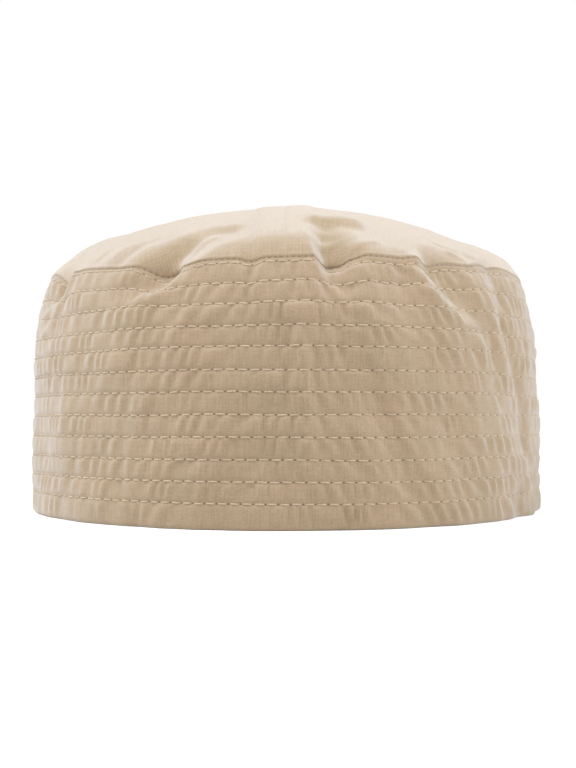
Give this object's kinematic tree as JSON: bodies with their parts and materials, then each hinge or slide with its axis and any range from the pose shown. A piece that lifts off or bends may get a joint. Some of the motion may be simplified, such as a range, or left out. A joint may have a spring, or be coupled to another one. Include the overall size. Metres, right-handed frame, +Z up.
{
  "type": "kufi cap",
  "caption": "Soft cotton kufi with a tall upright side band stitched in level rows and a low slack crown of halves with a seam from front to back.",
  "frame": {"origin": "middle of the brim's oval, on the plane that the brim rests on", "axes": "+Z up through the crown, -Y to the front of the cap, +X to the wearer's left"},
  "size_m": [0.185, 0.189, 0.1072],
  "materials": {
    "band_cloth": "plain-woven khaki cotton, matt, stitched in level rows",
    "crown_cloth": "the same khaki cotton, matt, slack and softly creased",
    "stitch_thread": "spun cotton thread, a shade lighter than the cloth, matt with a faint sheen"
  },
  "bodies": {
    "root": {"side_band": "band_cloth", "crown_left": "crown_cloth", "crown_right": "crown_cloth"}
  },
  "joints": []
}
